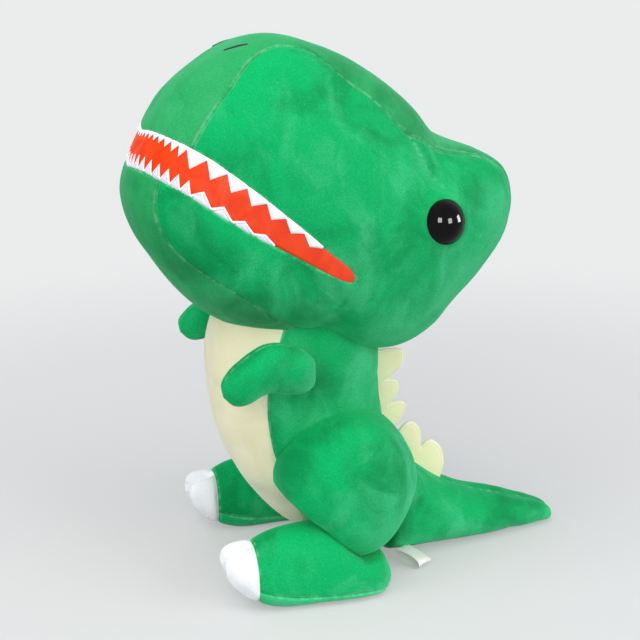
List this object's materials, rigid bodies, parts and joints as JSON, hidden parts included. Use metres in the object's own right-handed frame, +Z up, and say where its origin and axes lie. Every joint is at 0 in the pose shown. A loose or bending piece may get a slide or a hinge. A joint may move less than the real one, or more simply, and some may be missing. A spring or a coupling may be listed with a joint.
{
  "type": "plush toy dinosaur",
  "caption": "Standing soft dinosaur toy with a big round head, toothy mouth, small arms, large thighs, padded feet and a tail it rests on.",
  "frame": {"origin": "centre of the bounding box, at the floor that the soles and the tail stand on", "axes": "+Z up, -Y the way the animal faces, +X to its left; the plane X=0 is its mirror plane"},
  "size_m": [0.218, 0.3902, 0.451],
  "materials": {
    "green_plush": "matte",
    "light_green_plush": "matte",
    "sole_plush": "matte",
    "red_fabric": "matte",
    "white_felt": "matte",
    "black_plastic": "gloss",
    "washer_plastic": "matte",
    "black_thread": "matte",
    "cream_plush": "matte",
    "crest_felt": "matte",
    "white_plush": "matte",
    "label_ribbon": "satin",
    "stuffing": "matte"
  },
  "bodies": {
    "torso": {"body_side_left": "green_plush", "body_side_right": "green_plush", "belly_panel": "cream_plush", "body_stuffing": "stuffing", "spine_crest": "crest_felt", "thigh_skin_left": "green_plush", "thigh_skin_right": "green_plush", "thigh_stuffing_left": "stuffing", "thigh_stuffing_right": "stuffing", "foot_upper_left": "green_plush", "foot_upper_right": "green_plush", "toe_cap_left": "white_plush", "toe_cap_right": "white_plush", "sole_left": "sole_plush", "sole_right": "sole_plush", "foot_stuffing_left": "stuffing", "foot_stuffing_right": "stuffing"},
    "neck": {"neck_plug": "stuffing"},
    "head": {"head_side_left": "green_plush", "head_side_right": "green_plush", "crown_panel": "light_green_plush", "chin_panel": "light_green_plush", "mouth_lining": "red_fabric", "upper_teeth": "white_felt", "lower_teeth": "white_felt", "eye_left": "black_plastic", "eye_right": "black_plastic", "eye_washer_left": "washer_plastic", "eye_washer_right": "washer_plastic", "nostril_left": "black_thread", "nostril_right": "black_thread", "head_stuffing": "stuffing", "neck_front": "cream_plush", "neck_side_left": "green_plush", "neck_side_right": "green_plush", "neck_stuffing": "stuffing"},
    "arm_left": {"arm_skin_left": "green_plush", "arm_stuffing_left": "stuffing"},
    "arm_right": {"arm_skin_right": "green_plush", "arm_stuffing_right": "stuffing"},
    "tail": {"tail_skin": "green_plush", "tail_stuffing": "stuffing", "tail_crest": "crest_felt", "care_tag": "label_ribbon"}
  },
  "joints": [
    {"name": "head_turn", "type": "hinge", "parent": "torso", "child": "neck", "pos_m": [0, -0.0629, 0.143], "axis": [0, 0, 1], "range_deg": [-6, 6], "stiffness_Nm_per_rad": 2.5},
    {"name": "head_nod", "type": "hinge", "parent": "neck", "child": "head", "pos_m": [0, -0.0629, 0.143], "axis": [1, 0, 0], "range_deg": [0, 8], "stiffness_Nm_per_rad": 4, "springref_deg": -2.86},
    {"name": "arm_left_swing", "type": "hinge", "parent": "torso", "child": "arm_left", "pos_m": [0.08, -0.0669, 0.196], "axis": [1, 0, 0], "range_deg": [-10, 24], "stiffness_Nm_per_rad": 0.05, "springref_deg": -1.15},
    {"name": "arm_right_swing", "type": "hinge", "parent": "torso", "child": "arm_right", "pos_m": [-0.08, -0.0669, 0.196], "axis": [1, 0, 0], "range_deg": [-10, 24], "stiffness_Nm_per_rad": 0.05, "springref_deg": -1.15},
    {"name": "tail_sway", "type": "hinge", "parent": "torso", "child": "tail", "pos_m": [0, 0.0451, 0.048], "axis": [0, 0, 1], "range_deg": [-12, 12], "stiffness_Nm_per_rad": 1.5}
  ]
}
